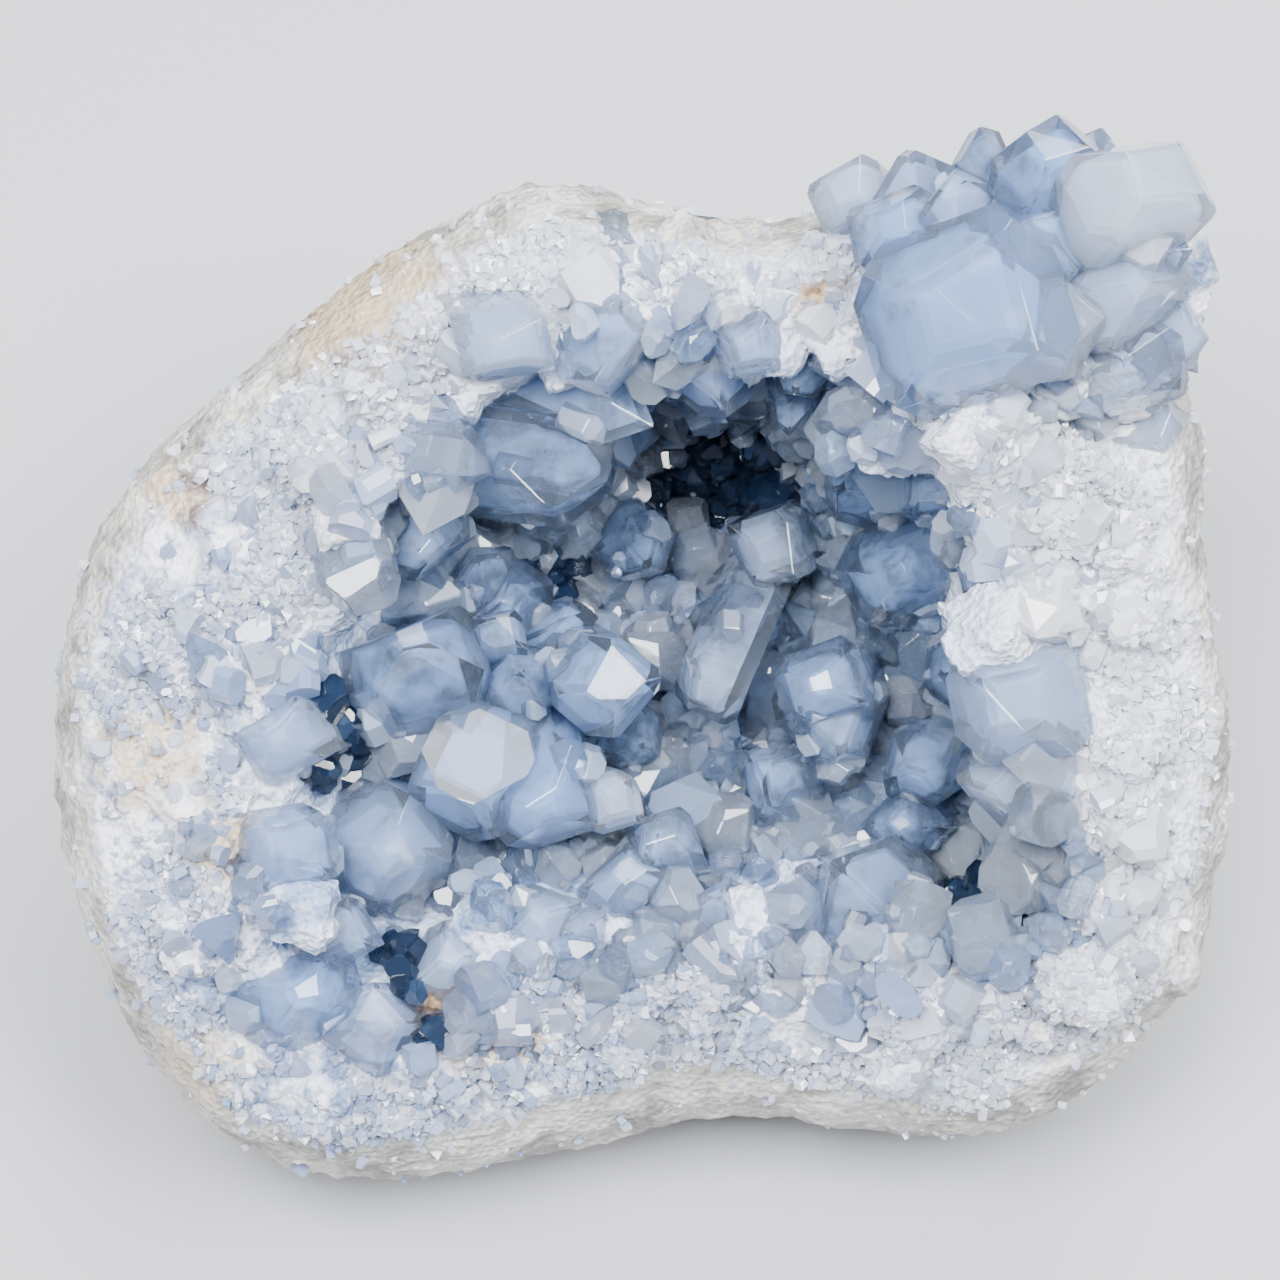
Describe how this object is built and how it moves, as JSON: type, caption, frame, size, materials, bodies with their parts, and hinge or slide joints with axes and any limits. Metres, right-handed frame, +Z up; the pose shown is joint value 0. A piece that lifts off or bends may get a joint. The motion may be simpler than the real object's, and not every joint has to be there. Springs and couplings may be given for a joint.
{
  "type": "celestite geode",
  "caption": "A broken celestite nodule on its side: thick pale wall, a deep hollow lined with blue blocky crystals, and a tall raised crystal cluster on the back right of the rim",
  "frame": {"origin": "On the ground under the middle of the geode's bounding box; the flat spot it rests on lies in Z = 0.", "axes": "+X to the right as the picture shows it, the longest way; +Y to the back, where the raised cluster stands; +Z up. The hollow opens up and towards -Y, 28 degrees from upright."},
  "size_m": [0.1304, 0.1066, 0.1092],
  "materials": {
    "matrix": "sugary broken celestite rock, white with blue and cream patches, granular grey skin outside",
    "hollow_crystals": "clear to hazy pale blue celestite crystals with flat glassy faces",
    "raised_crystals": "hazy pale blue to white celestite crystals with flat glassy faces"
  },
  "bodies": {
    "root": {"matrix_shell": "matrix", "hollow_crystal_crust": "hollow_crystals", "raised_crystal_cluster": "raised_crystals"}
  },
  "joints": []
}
